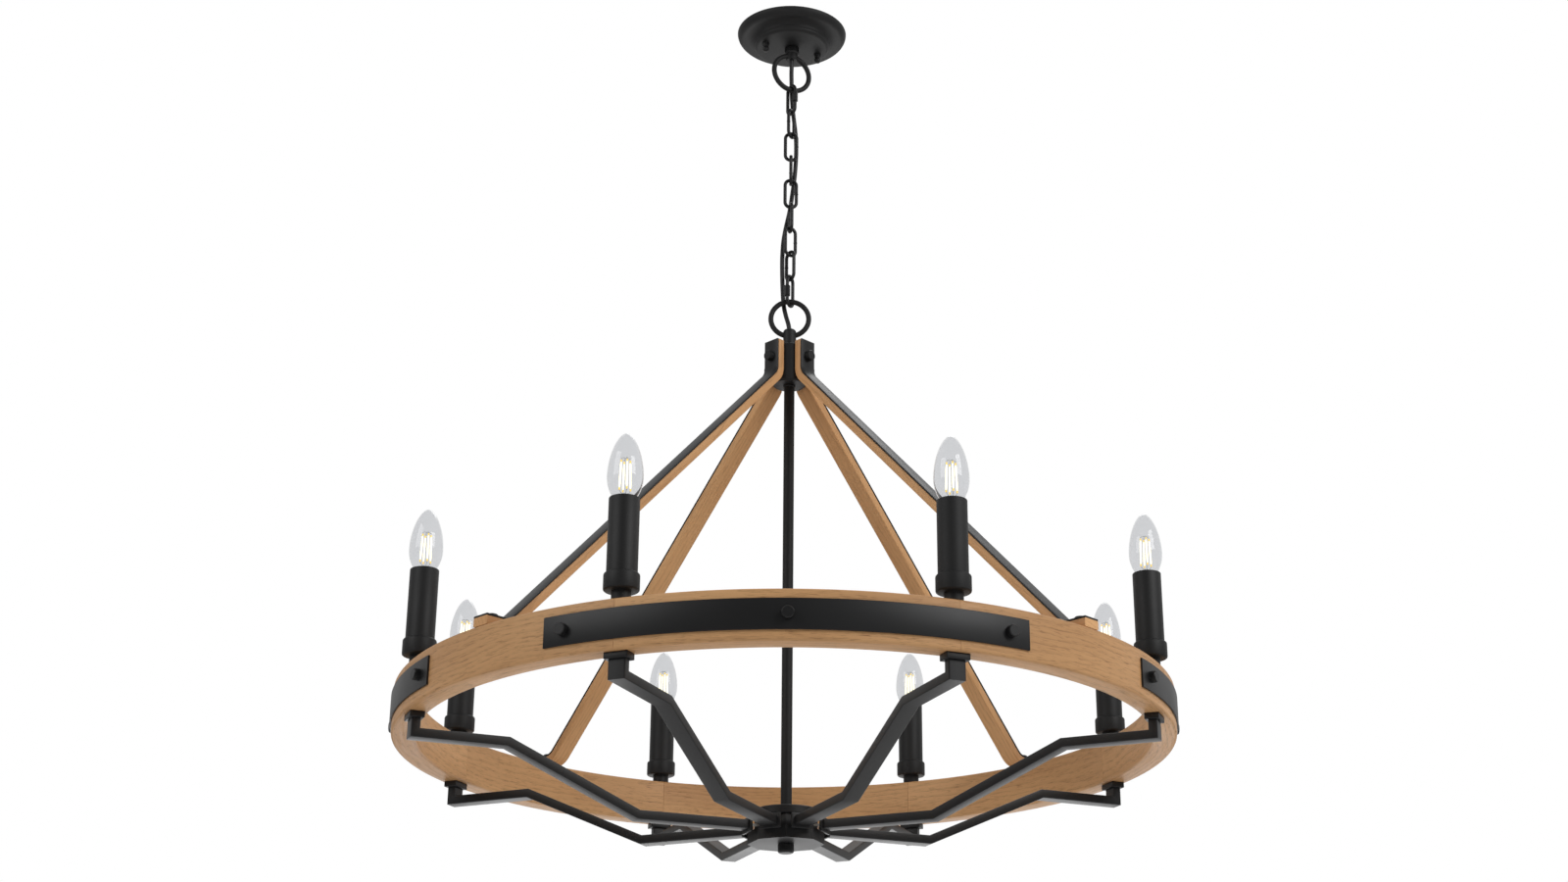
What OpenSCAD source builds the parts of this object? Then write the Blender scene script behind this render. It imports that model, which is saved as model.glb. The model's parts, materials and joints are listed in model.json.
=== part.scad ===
// Wagon wheel chandelier on a chain: a wooden ring under four bent struts, with cranked
// tube arms from a central hub to candle lamps on the ring.
// Frame: +Z up, origin at the middle of the ceiling face, and -Y is the side that is seen.

/* [Canopy] */
// Diameter of the canopy rim against the ceiling
canopy_d = 132.4; // [120:0.2:150]
// Depth from the ceiling to the canopy's flat face
canopy_depth = 20; // [18:1:28]
// Sheet thickness of the canopy
canopy_wall = 1.2; // [0.8:0.1:2]
// Diameter of the raised step around the flat face
canopy_step_d = 90; // [84:1:100]
// Diameter of the flat face
canopy_face_d = 80.5; // [77:0.5:82]
// Turn of the canopy and its bracket about the vertical
canopy_turn = 21.5; // [0:0.5:90]
// Distance between the two cap nuts
stud_spacing = 68; // [64:1:72]
// Diameter of the canopy studs
stud_d = 4; // [3:0.5:5]

/* [Ceiling bracket] */
// Length of the bracket bar
bracket_l = 104; // [90:1:110]
// Width of the bracket bar
bracket_w = 20; // [16:1:24]
// Thickness of the bracket bar
bracket_t = 2; // [1.5:0.1:3]
// Pitch circle of the ceiling screws
ceiling_screw_pcd = 50; // [44:1:54]
// Diameter of the ceiling screw holes
ceiling_screw_d = 5; // [4:0.5:6]

/* [Loops] */
// Outer diameter of the upper loop
upper_loop_d = 52.4; // [40:0.2:60]
// Outer diameter of the lower loop
lower_loop_d = 50; // [40:1:60]
// Thickness of the loops' wire
loop_wire_d = 6; // [4:0.1:7]
// Diameter of the upper loop's neck
upper_neck_d = 14.4; // [12.5:0.1:16]
// Diameter of the collar above the upper loop
collar_d = 17.5; // [15:0.5:22]
// Height of the collar
collar_h = 8; // [5:0.5:12]
// Diameter of the lower loop's neck
lower_neck_d = 15; // [13:0.1:18]
// Length of the lower loop's neck
lower_neck_l = 24.9; // [20:0.1:30]

/* [Chain] */
// Number of welded links between the two quick links
welded_links = 7; // [5:1:9]
// Thickness of the chain's wire
link_wire_d = 4; // [3:0.1:4.4]
// Outer length of a welded link
link_l = 40; // [36:0.5:48]
// Outer width of a link
link_w = 17.6; // [16.8:0.1:20]
// Outer length of a quick link
quick_l = 42; // [41:0.5:50]
// Length of a quick link's sleeve nut
sleeve_nut_l = 13; // [11:0.5:13.5]
// Width across the flats of a sleeve nut
sleeve_nut_w = 6; // [5.4:0.1:6.4]

/* [Cord] */
// Diameter of the mains cord
cord_d = 5.2; // [4.5:0.1:5.6]

/* [Crown] */
// Height of the head block's underside above the top of the ring
crown_rise = 378.5; // [340:0.5:420]
// Diameter of the head block
head_d = 38.8; // [36:0.2:44]
// Height of the head block
head_h = 46.5; // [42:0.5:50]
// Diameter of the centre rod
rod_d = 12; // [10.6:0.1:13]
// Diameter of the threaded pipe that clamps the fixture together
pipe_d = 10; // [9:0.5:10]
// Bore of the threaded pipe
pipe_bore_d = 7.5; // [6.5:0.1:7.6]
// Width of the struts and straps
strut_w = 21; // [16:0.5:26]
// Thickness of a wooden strut
strut_t = 9; // [7:0.5:12]
// Thickness of a steel strap
strap_t = 2; // [1.5:0.1:3]
// Radius of the bends on a strap's outer face
strap_bend_r = 15; // [10:1:20]
// Distance from the ring's outer face in to a strut's foot end
foot_inset = 3.5; // [2:0.1:8]

/* [Wooden ring] */
// Outer diameter of the ring
ring_d = 840; // [820:5:860]
// Width of the ring's section
ring_w = 26; // [22:1:32]
// Height of the ring's section
ring_h = 50; // [46:1:60]
// Radius of the ring's eased edges
ring_ease = 3; // [1:0.5:4]

/* [Rim plates] */
// Angle that a rim plate spans
plate_span = 65.6; // [60:0.2:74]
// Height of a rim plate
plate_h = 30; // [24:1:36]
// Thickness of a rim plate
plate_t = 2; // [1.5:0.1:3]
// Angle from the middle bolt to an end bolt
plate_bolt_angle = 29.8; // [26:0.1:30]

/* [Bolts] */
// Diameter of the bolt heads
bolt_head_d = 12; // [10:0.5:14]
// Height of the bolt heads
bolt_head_h = 6.2; // [4:0.1:8]
// Diameter of the bolt shanks
bolt_d = 6; // [5:0.5:6]

/* [Candles] */
// Diameter of a candle sleeve
sleeve_d = 29.8; // [27:0.2:32]
// Height of the sleeve's top above the ring
sleeve_top = 102; // [90:1:120]
// Wall of a sleeve
sleeve_wall = 1.2; // [0.8:0.1:1.4]
// Depth of the lampholder's face below the sleeve's top
sleeve_lip = 4.5; // [3:0.5:7]
// Diameter of a candle cup
cup_d = 34.6; // [33:0.2:38]
// Height of a candle cup
cup_h = 17.4; // [14:0.2:22]
// Diameter of the stem below the cup
stem_d = 19; // [15:0.5:22]
// Height of the stem below the cup
stem_h = 9.6; // [6:0.2:14]

/* [Bulbs] */
// Largest diameter of a bulb
bulb_d = 35; // [33:1:38]
// Height of the glass above its cap
bulb_h = 73; // [68:1:80]
// Diameter of the screw cap
cap_d = 13.8; // [13.5:0.1:14]

/* [Arms] */
// Width of an arm's tube
arm_w = 17.8; // [14:0.2:20]
// Thickness of an arm's tube
arm_t = 9.5; // [8:0.1:10]
// Wall of an arm's tube
arm_wall = 1.2; // [0.8:0.1:1.5]
// Drop from the ring's underside to the arm's upper run
arm_drop = 21.5; // [18:0.5:30]
// Distance from the axis to the end of the upper run
arm_knee = 310; // [290:1:330]
// Distance from the axis to the start of the lower run
arm_ankle = 168; // [150:1:190]

/* [Hub] */
// Depth from the ring's top to the hub's top face
hub_drop = 116; // [110:1:124]
// Diameter of the hub's top disc
disc_d = 72; // [68:1:78]
// Thickness of the hub's top disc
disc_h = 9; // [6:0.5:12]
// Diameter across the corners of the hub core
core_d = 68; // [66:1:72]
// Height of the hub core
core_h = 14; // [13:0.5:18]
// Diameter across the corners of the bottom plate
bottom_d = 82; // [76:1:84]
// Height of the bottom plate
bottom_h = 13; // [12:0.5:16]
// Diameter of the finial nut
finial_d = 17.4; // [14:0.2:22]
// Height of the finial nut
finial_h = 9.5; // [8:0.5:14]

/* [Hidden] */
$fn = 64;
BLACK = "#26262a";
WOOD = "#b98f66";
STEEL = "#9a9a9e";
PLASTIC = "#e8e6e0";
GLASS = "#e6eef2";
WARM = "#f2c25c";

// candles and arms, one of each between every strut and rim plate centre
candles = 8;

// clearances
hang_gap = 0.3;
slide_gap = 0.05;
hole_gap = 0.1;
seat_gap = 0.1;

// turn of each ring and link about the vertical, from the upper loop to the lower loop
upper_loop_turn = 25;
lower_loop_turn = 0;
quick_top_turn = 130;
quick_bottom_turn = 62;
welded_turn = [242, 0, 90, 10, 103, 31, 129];

// heights, from the ceiling down
face_z = -canopy_depth;
collar_bottom = face_z - collar_h;
upper_loop_r = (upper_loop_d - loop_wire_d) / 2;
lower_loop_r = (lower_loop_d - loop_wire_d) / 2;
upper_loop_z = collar_bottom - upper_loop_d / 2;
upper_loop_low = upper_loop_z - upper_loop_r;
upper_neck_bottom = collar_bottom - loop_wire_d - 2.1;
link_r = (link_w - link_wire_d) / 2;
loop_step = (loop_wire_d + link_wire_d) / 2 + hang_gap;
link_step = link_wire_d + hang_gap;
quick_reach = quick_l - link_wire_d;
link_reach = link_l - link_wire_d;
quick_top_z = upper_loop_low + loop_step;
first_link_z = quick_top_z - quick_reach + link_step;
link_pitch = link_reach - link_step;
quick_bottom_z = first_link_z - welded_links * link_pitch;
lower_loop_top = quick_bottom_z - quick_reach + loop_step;
lower_loop_z = lower_loop_top - lower_loop_r;
lower_neck_top = lower_loop_z - lower_loop_r + loop_wire_d / 2 + 6;
head_top = lower_neck_top - lower_neck_l;
head_bottom = head_top - head_h;
ring_top = head_bottom - crown_rise;
ring_bottom = ring_top - ring_h;

// ring and candles
ring_r = ring_d / 2;
ring_mid_r = ring_r - ring_w / 2;
candle_start = 180 / candles;
candle_step = 360 / candles;
cup_bottom = ring_top + stem_h;
cup_floor_t = 2;
cup_floor = cup_bottom + cup_floor_t;
holder_top = ring_top + sleeve_top - sleeve_lip;
holder_d = sleeve_d - 2 * sleeve_wall - 2 * hole_gap;
holder_h = 32;
socket_depth = 27;
cap_bottom = holder_top - socket_depth + 2;
cap_top = holder_top + 0.5;
holder_post_d = 16;

// terminal block on the ceiling bracket
block = [32, 14, 7.5];

// rim bolts, the same as the head bolts
rim_bolt_z = ring_top - ring_h / 2;
short_bolt_l = 22;

// hub pocket that holds the splice
pocket_d = 50;
pocket_depth = 9;

// bulb glass: neck radius and the belly's share of its height
glass_neck_r = 8.2;
belly_at = 0.37;

// arms and hub
arm_cap = [15.5, 25, 6.5];
arm_upper_z = ring_bottom - arm_drop;
disc_top = ring_top - hub_drop;
core_top = disc_top - disc_h;
core_bottom = core_top - core_h;
bottom_face = core_bottom - bottom_h;
core_wall = 3;
core_flat_r = core_d / 2 * cos(22.5);
spigot_d = 8;
spigot_bore_d = 5;
spigot_z = core_bottom + spigot_d / 2 + 1;
flange = [3, 25, 16];
flange_r = bottom_d / 2 + 2;
arm_lower_z = spigot_z - 1;
arm_path = [
    [ring_mid_r, ring_bottom - arm_cap.z],
    [ring_mid_r, arm_upper_z],
    [arm_knee, arm_upper_z],
    [arm_ankle, arm_lower_z],
    [flange_r + flange.x, arm_lower_z]
];

// struts: outer face of a strap, in the plane through the axis, from the crown to the foot
strut_pack = strap_t + strut_t;
head_flat_r = head_d / 2 - 0.4;
strap_r = head_flat_r + strut_pack;
foot_reach = ring_r - foot_inset;
foot_run = 25.5;
strap_line = [
    [strap_r, head_top + 1],
    [strap_r, head_bottom + 8],
    [foot_reach - foot_run, ring_top + strut_pack],
    [foot_reach, ring_top + strut_pack]
];
head_bolt_z = head_top - 0.4 * head_h;
foot_bolt_r = foot_reach - 0.45 * foot_run;
foot_bolt_depth = 0.68 * ring_h;
rod_nut_h = 2.5;
foot_head_h = bolt_head_h / 2;

function strut_turn(k) = 45 + 90 * (k - 1);

// quick link opening, measured towards the loop that the quick link carries
sleeve_closed = 2.2;
leg_gap = 4.5;
leg_gap_at = 4.5;

// the cord's route from the terminal block to the hub, beside the chain
cord_route = [
    [0, 0, -9.5], [0, 0, -36.6], [0, 0.6, -44], [-0.2, 2.8, -53], [0, 5.6, -63], [0.3, 8, -74],
    [0.8, 9.1, -86], [1.8, 10.3, -99], [3.2, 11.3, -112], [4.7, 11.3, -125], [5.8, 10.3, -138],
    [6.2, 9, -151], [6.1, 8.4, -164], [5.5, 8.8, -177], [4.6, 9.8, -190], [3.2, 10.9, -203],
    [1.6, 11.6, -216], [0, 11.9, -229], [-2.2, 11.9, -242], [-4.6, 11, -254], [-6.6, 9, -266],
    [-8.2, 6.4, -279], [-9, 4.2, -292], [-9.4, 3, -305], [-9.3, 3, -318], [-9, 3.8, -331],
    [-8.5, 4.9, -344], [-7.8, 6, -356], [-6.5, 6, -367], [-4.2, 4.4, -378], [-1.5, 1.6, -389],
    [0, 0, -400], [0, 0, -975]
];
cord_sides = 10;

QUICK = ["quick_link_top", "quick_nut_top", "quick_link_bottom", "quick_nut_bottom"];

// ---------- shared shapes ----------

function unit(v) = v / norm(v);
function left_of(v) = [-v.y, v.x];
function heading(line, i) = unit(line[i + 1] - line[i]);

// Corner of a mitred line moved to its left by d.
function corner(line, i, d) =
    let (last = len(line) - 1)
    i == 0 ? line[0] + d * left_of(heading(line, 0)) :
    i == last ? line[last] + d * left_of(heading(line, last - 1)) :
    let (a = heading(line, i - 1), b = heading(line, i))
    line[i] + d * (left_of(a) + left_of(b)) / (1 + a * b);

function mitred(line, d) = [for (i = [0 : len(line) - 1]) corner(line, i, d)];

// The same line moved to its right by d, its corners rounded about a centre on their left.
function rounded(line, d, r, steps = 10) = [
    line[0] - d * left_of(heading(line, 0)),
    for (i = [1 : len(line) - 2])
        let (
            a = heading(line, i - 1),
            b = heading(line, i),
            centre = line[i] + r * (left_of(a) + left_of(b)) / (1 + a * b),
            from = atan2(a.y, a.x),
            to = atan2(b.y, b.x)
        )
        for (s = [0 : steps])
            let (turn = from + (to - from) * s / steps)
            centre + (r + d) * [sin(turn), -cos(turn)],
    line[len(line) - 1] - d * left_of(heading(line, len(line) - 2))
];

function reversed(list) = [for (i = [len(list) - 1 : -1 : 0]) list[i]];

// A profile in the plane through the axis at angle a, made w thick.
module blade(points, w, a) {
    rotate([0, 0, a])
        rotate([90, 0, 0])
            translate([0, 0, -w / 2])
                linear_extrude(w)
                    polygon(points);
}

// A wire ring standing in the plane y = 0, centred at height z.
module wire_ring(r, wire_d, z) {
    translate([0, 0, z])
        rotate([90, 0, 0])
            rotate_extrude()
                translate([r, 0])
                    circle(d = wire_d, $fn = 32);
}

// A straight-sided link of wire in the plane y = 0, its top wire centred at the origin.
module wire_link(length) {
    leg = length - link_w;
    for (end = [0, 1])
        translate([0, 0, -link_r - end * leg])
            rotate([90, 0, 0])
                rotate([0, 0, end * 180])
                    rotate_extrude(angle = 180)
                        translate([link_r, 0])
                            circle(d = link_wire_d, $fn = 32);
    for (side = [-1, 1])
        translate([side * link_r, 0, -link_r - leg])
            cylinder(h = leg, d = link_wire_d, $fn = 32);
}

// A bolt along +Z from its head's underside at the origin.
module bolt(shank_l, head_h) {
    ease = 0.8;
    cylinder(h = head_h - ease, d = bolt_head_d, $fn = 48);
    translate([0, 0, head_h - ease])
        cylinder(h = ease, d1 = bolt_head_d, d2 = bolt_head_d - 2 * ease, $fn = 48);
    translate([0, 0, -shank_l])
        cylinder(h = shank_l + 0.5, d = bolt_d, $fn = 32);
}

module at_candles() {
    for (k = [0 : candles - 1])
        rotate([0, 0, candle_start + k * candle_step])
            translate([ring_mid_r, 0, 0])
                children();
}

// ---------- ceiling ----------

module on_canopy() {
    rotate([0, 0, canopy_turn])
        children();
}

module ceiling_bracket() {
    color(STEEL) on_canopy() difference() {
        intersection() {
            translate([-bracket_l / 2, -bracket_w / 2, -bracket_t])
                cube([bracket_l, bracket_w, bracket_t]);
            translate([0, 0, -bracket_t])
                cylinder(h = bracket_t, d = bracket_l);
        }
        for (side = [-1, 1]) {
            translate([side * ceiling_screw_pcd / 2, 0, -bracket_t - 1])
                cylinder(h = bracket_t + 2, d = ceiling_screw_d);
            translate([side * stud_spacing / 2, 0, -bracket_t - 1])
                cylinder(h = bracket_t + 2, d = stud_d + 2 * slide_gap);
        }
    }
}

module canopy_studs() {
    color(STEEL) on_canopy() for (side = [-1, 1])
        translate([side * stud_spacing / 2, 0, 0]) {
            translate([0, 0, face_z - 6])
                cylinder(h = canopy_depth + 5.5, d = stud_d, $fn = 32);
            translate([0, 0, -bracket_t - 3])
                cylinder(h = 3, d = 8, $fn = 6);
        }
}

module terminal_block() {
    color(PLASTIC) on_canopy() difference() {
        translate([-block.x / 2, -block.y / 2, -bracket_t - block.z])
            cube(block);
        for (side = [-1, 1]) {
            translate([side * 10, 0, -bracket_t - block.z - 1])
                cylinder(h = 4, d = 4.4, $fn = 32);
            translate([side * 10, -block.y / 2 - 1, -bracket_t - block.z / 2])
                rotate([-90, 0, 0])
                    cylinder(h = 4, d = 3.2, $fn = 32);
        }
    }
}

// Section of the canopy: rim bead, concave flank, raised step and flat face.
function canopy_line(wall) =
    let (
        r_rim = canopy_d / 2 - wall,
        r_step = canopy_step_d / 2 - wall,
        r_face = canopy_face_d / 2 - wall,
        z_face = face_z + wall,
        z_step = z_face * 0.82,
        z_valley = z_face * 0.68
    )
    concat(
        [for (a = [0 : 9 : 90]) [r_rim - 8 * (1 - cos(a)), z_valley * 0.62 * sin(a)]],
        [for (a = [0 : 15 : 90]) [
            r_rim - 8 + (r_step + 1.5 - r_rim + 8) * sin(a),
            z_valley * (0.62 + 0.38 * (1 - cos(a)))]],
        [for (a = [0 : 30 : 90]) [r_step + 1.5 * (1 - sin(a)), z_step + (z_valley - z_step) * (1 - sin(a)) / 2]],
        [for (a = [0 : 15 : 90]) [
            r_face + (r_step - r_face) * cos(a),
            z_step + (z_face - z_step) * sin(a)]]
    );

module canopy() {
    color(BLACK) difference() {
        rotate_extrude($fn = 96)
            polygon(concat([[0, 0]], canopy_line(0), [[0, face_z]]));
        rotate_extrude($fn = 96)
            polygon(concat([[0, 1], [canopy_d / 2 - canopy_wall, 1]],
                canopy_line(canopy_wall), [[0, face_z + canopy_wall]]));
        translate([0, 0, face_z - 1])
            cylinder(h = canopy_wall + 2, d = pipe_d + 2 * hole_gap);
        on_canopy() for (side = [-1, 1])
            translate([side * stud_spacing / 2, 0, face_z - 1])
                cylinder(h = canopy_wall + 2, d = stud_d + 2 * hole_gap, $fn = 32);
    }
}

module canopy_cap_nuts() {
    ball_d = 8;
    color(BLACK) on_canopy() for (side = [-1, 1])
        translate([side * stud_spacing / 2, 0, face_z])
            difference() {
                rotate_extrude($fn = 48)
                    polygon(concat(
                        [[0, 0], [4.4, 0], [4.4, -1.2], [4, -1.6], [4, -3.4], [3.1, -4.2]],
                        [for (a = [40 : -10 : -90]) [ball_d / 2 * cos(a), -7.6 + ball_d / 2 * sin(a)]]
                    ));
                translate([0, 0, -6.5])
                    cylinder(h = 7.5, d = stud_d + 2 * slide_gap, $fn = 32);
            }
}

module loop_nipple() {
    top = -bracket_t - block.z - 1.5;
    bottom = upper_neck_bottom + 1.6;
    color(STEEL) translate([0, 0, bottom]) difference() {
        cylinder(h = top - bottom, d = pipe_d);
        translate([0, 0, -1])
            cylinder(h = top - bottom + 2, d = pipe_bore_d);
    }
}

module nipple_locknut() {
    color(STEEL) translate([0, 0, face_z + canopy_wall]) difference() {
        cylinder(h = 3, d = 16, $fn = 6);
        translate([0, 0, -1])
            cylinder(h = 5, d = pipe_d + 2 * slide_gap);
    }
}

module loop_collar() {
    color(BLACK) translate([0, 0, collar_bottom]) difference() {
        rotate_extrude()
            polygon([
                [0, 0], [collar_d / 2 - 1.5, 0], [collar_d / 2, 1.5],
                [collar_d / 2, collar_h - 1], [collar_d / 2 - 1, collar_h], [0, collar_h]
            ]);
        translate([0, 0, -1])
            cylinder(h = collar_h + 2, d = pipe_d + 2 * slide_gap);
    }
}

module upper_loop() {
    neck_h = collar_bottom - upper_neck_bottom;
    color(BLACK) rotate([0, 0, upper_loop_turn]) difference() {
        union() {
            wire_ring(upper_loop_r, loop_wire_d, upper_loop_z);
            translate([0, 0, upper_neck_bottom + 1])
                cylinder(h = neck_h - 1, d = upper_neck_d);
            translate([0, 0, upper_neck_bottom])
                cylinder(h = 1, d1 = upper_neck_d - 2, d2 = upper_neck_d);
        }
        translate([0, 0, upper_neck_bottom + 1.6])
            cylinder(h = neck_h + 1, d = pipe_d + 2 * slide_gap);
        translate([0, 0, upper_neck_bottom - 1])
            cylinder(h = 4, d = cord_d + 2 * slide_gap);
    }
}

// ---------- chain ----------

module at_link(turn, z) {
    translate([0, 0, z])
        rotate([0, 0, turn])
            children();
}

// Height of a quick link's middle below its top wire.
function quick_middle() = -quick_reach / 2;

function turn_of(k) = welded_turn[(k - 1) % len(welded_turn)];

module quick_link(turn, z, towards_loop) {
    color(BLACK) at_link(turn, z) difference() {
        wire_link(quick_l);
        translate([
            -link_r - link_wire_d,
            -link_wire_d,
            quick_middle() + towards_loop * leg_gap_at - leg_gap / 2
        ])
            cube([link_wire_d * 2, link_wire_d * 2, leg_gap]);
    }
}

module sleeve_nut(turn, z, towards_loop) {
    color(BLACK) at_link(turn, z)
        translate([
            -link_r, 0,
            quick_middle() + towards_loop * sleeve_closed - sleeve_nut_l / 2
        ])
            difference() {
                cylinder(h = sleeve_nut_l, r = sleeve_nut_w / 2 / cos(30), $fn = 6);
                translate([0, 0, -1])
                    cylinder(h = sleeve_nut_l + 2, d = link_wire_d + 2 * slide_gap, $fn = 32);
            }
}

module quick_link_top() {
    quick_link(quick_top_turn, quick_top_z, 1);
}

module quick_nut_top() {
    sleeve_nut(quick_top_turn, quick_top_z, 1);
}

module quick_link_bottom() {
    quick_link(quick_bottom_turn, quick_bottom_z, -1);
}

module quick_nut_bottom() {
    sleeve_nut(quick_bottom_turn, quick_bottom_z, -1);
}

module chain_link(k) {
    color(BLACK) at_link(turn_of(k), first_link_z - (k - 1) * link_pitch) union() {
        wire_link(link_l);
        // weld bead on one leg
        translate([link_r, 0, -link_reach / 2])
            sphere(d = link_wire_d + 0.5, $fn = 32);
    }
}

// ---------- cord ----------

function cord_heading(i) =
    unit(cord_route[min(i + 1, len(cord_route) - 1)] - cord_route[max(i - 1, 0)]);

function cord_ring(i) =
    let (
        along = cord_heading(i),
        across = unit(cross(along, [0, 1, 0])),
        over = cross(across, along)
    )
    [for (s = [0 : cord_sides - 1])
        let (a = 360 * s / cord_sides)
        cord_route[i] + cord_d / 2 * (cos(a) * across + sin(a) * over)];

module cord() {
    rings = len(cord_route);
    n = cord_sides;
    points = [for (i = [0 : rings - 1]) each cord_ring(i)];
    sides = [
        for (i = [0 : rings - 2])
            for (s = [0 : n - 1])
                let (a = i * n + s, b = i * n + (s + 1) % n)
                each [[a, b, b + n], [a, b + n, a + n]]
    ];
    ends = [[for (s = [n - 1 : -1 : 0]) s], [for (s = [0 : n - 1]) (rings - 1) * n + s]];
    color(BLACK) polyhedron(points = points, faces = concat(sides, ends));
}

// ---------- crown ----------

module lower_loop() {
    neck_r = lower_neck_d / 2;
    dome_h = 4;
    color(BLACK) rotate([0, 0, lower_loop_turn]) difference() {
        union() {
            wire_ring(lower_loop_r, loop_wire_d, lower_loop_z);
            rotate_extrude()
                polygon(concat(
                    [[0, head_top], [neck_r, head_top]],
                    [for (a = [0 : 15 : 90])
                        [neck_r * cos(a), lower_neck_top - dome_h * (1 - sin(a))]]
                ));
        }
        translate([0, 0, lower_neck_top - 6])
            cylinder(h = 7, d1 = cord_d + 2 * slide_gap, d2 = cord_d + 4);
        translate([0, 0, head_top - 1])
            cylinder(h = lower_neck_l, d = cord_d + 2 * slide_gap);
        translate([0, 0, head_top - 1])
            cylinder(h = 13.5, d = pipe_d + 2 * slide_gap);
    }
}

module head_block() {
    color(BLACK) difference() {
        intersection() {
            translate([0, 0, head_bottom])
                rotate_extrude()
                    polygon([
                        [0, 0], [head_d / 2 - 1.8, 0], [head_d / 2, 1.8],
                        [head_d / 2, head_h - 1], [head_d / 2 - 1, head_h], [0, head_h]
                    ]);
            rotate([0, 0, 45])
                translate([-head_flat_r, -head_flat_r, head_bottom - 1])
                    cube([2 * head_flat_r, 2 * head_flat_r, head_h + 2]);
        }
        translate([0, 0, head_bottom - 1])
            cylinder(h = head_h + 2, d = pipe_d + 2 * hole_gap);
        for (k = [1 : 4])
            rotate([0, 0, strut_turn(k)])
                translate([strap_r - short_bolt_l - 1, 0, head_bolt_z])
                    rotate([0, 90, 0])
                        cylinder(h = head_d, d = bolt_d + 2 * slide_gap, $fn = 32);
    }
}

module centre_rod() {
    nut_bottom = head_bottom - rod_nut_h;
    rod_bottom = bottom_face - finial_h + 2.5;
    color(BLACK) difference() {
        union() {
            translate([0, 0, disc_top])
                cylinder(h = nut_bottom - disc_top, d = rod_d);
            translate([0, 0, rod_bottom])
                cylinder(h = head_top + 12 - rod_bottom, d = pipe_d);
        }
        translate([0, 0, rod_bottom - 1])
            cylinder(h = head_top + 14 - rod_bottom, d = pipe_bore_d);
        // wire outlet inside the hub core
        translate([-rod_d, 0, spigot_z])
            rotate([0, 90, 0])
                cylinder(h = 2 * rod_d, d = 5, $fn = 32);
    }
}

module rod_nut() {
    nut_d = rod_d + 1.6;
    color(BLACK) translate([0, 0, head_bottom - rod_nut_h]) difference() {
        rotate_extrude()
            polygon([
                [0, 0], [nut_d / 2 - 0.6, 0], [nut_d / 2, 0.6],
                [nut_d / 2, rod_nut_h], [0, rod_nut_h]
            ]);
        translate([0, 0, -1])
            cylinder(h = rod_nut_h + 2, d = pipe_d + 2 * slide_gap);
    }
}

module strut_holes(k) {
    rotate([0, 0, strut_turn(k)]) {
        translate([0, 0, head_bolt_z])
            rotate([0, 90, 0])
                cylinder(h = strap_r + 10, d = bolt_d + 2 * slide_gap, $fn = 32);
        translate([foot_bolt_r, 0, ring_top - 1])
            cylinder(h = 30, d = bolt_d + 2 * slide_gap, $fn = 32);
    }
}

module strut(k) {
    color(WOOD) difference() {
        blade(concat(
            rounded(strap_line, strap_t, strap_bend_r),
            reversed(rounded(strap_line, strut_pack, strap_bend_r))
        ), strut_w, strut_turn(k));
        strut_holes(k);
    }
}

module strap(k) {
    color(BLACK) difference() {
        blade(concat(
            rounded(strap_line, 0, strap_bend_r),
            reversed(rounded(strap_line, strap_t, strap_bend_r))
        ), strut_w, strut_turn(k));
        strut_holes(k);
    }
}

module foot_bolts() {
    color(BLACK) for (k = [1 : 4])
        rotate([0, 0, strut_turn(k)])
            translate([foot_bolt_r, 0, ring_top + strut_pack])
                bolt(strut_pack + foot_bolt_depth, foot_head_h);
}

// ---------- wheel ----------

module at_rim_bolts() {
    for (k = [0 : 3])
        for (side = [-1, 0, 1])
            rotate([0, 0, 90 * k + side * plate_bolt_angle])
                translate([0, 0, rim_bolt_z])
                    rotate([0, 90, 0])
                        children();
}

module wood_ring() {
    inner_r = ring_r - ring_w;
    e = ring_ease;
    corners = [
        [ring_r - e, ring_bottom + e, -90],
        [ring_r - e, ring_top - e, 0],
        [inner_r + e, ring_top - e, 90],
        [inner_r + e, ring_bottom + e, 180]
    ];
    color(WOOD) difference() {
        rotate_extrude($fn = 180)
            polygon([
                for (c = corners)
                    for (a = [0 : 22.5 : 90])
                        [c[0] + e * cos(c[2] + a), c[1] + e * sin(c[2] + a)]
            ]);
        at_candles()
            translate([0, 0, ring_bottom - 1])
                cylinder(h = ring_h + 2, d = pipe_d + 2 * hole_gap, $fn = 32);
        for (k = [1 : 4])
            rotate([0, 0, strut_turn(k)])
                translate([foot_bolt_r, 0, ring_top - foot_bolt_depth - 1])
                    cylinder(h = foot_bolt_depth + 2, d = bolt_d + 2 * slide_gap, $fn = 32);
        at_rim_bolts()
            translate([0, 0, ring_r + plate_t - short_bolt_l - 1])
                cylinder(h = 30, d = bolt_d + 2 * slide_gap, $fn = 32);
    }
}

module rim_plate(k) {
    inner = ring_r + seat_gap;
    color(BLACK) difference() {
        translate([0, 0, rim_bolt_z - plate_h / 2])
            rotate([0, 0, 90 * (k - 1) - plate_span / 2])
                rotate_extrude(angle = plate_span, $fn = 180)
                    translate([inner, 0])
                        square([plate_t, plate_h]);
        at_rim_bolts()
            translate([0, 0, inner - 5])
                cylinder(h = plate_t + 10, d = bolt_d + 2 * slide_gap, $fn = 32);
    }
}

// The four bolts of the head block and the twelve of the rim plates are alike.
module short_bolts() {
    color(BLACK) {
        for (k = [1 : 4])
            rotate([0, 0, strut_turn(k)])
                translate([strap_r, 0, head_bolt_z])
                    rotate([0, 90, 0])
                        bolt(short_bolt_l, bolt_head_h);
        at_rim_bolts()
            translate([0, 0, ring_r + 2 * seat_gap + plate_t])
                bolt(short_bolt_l, bolt_head_h);
    }
}

// ---------- arms and hub ----------

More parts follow.
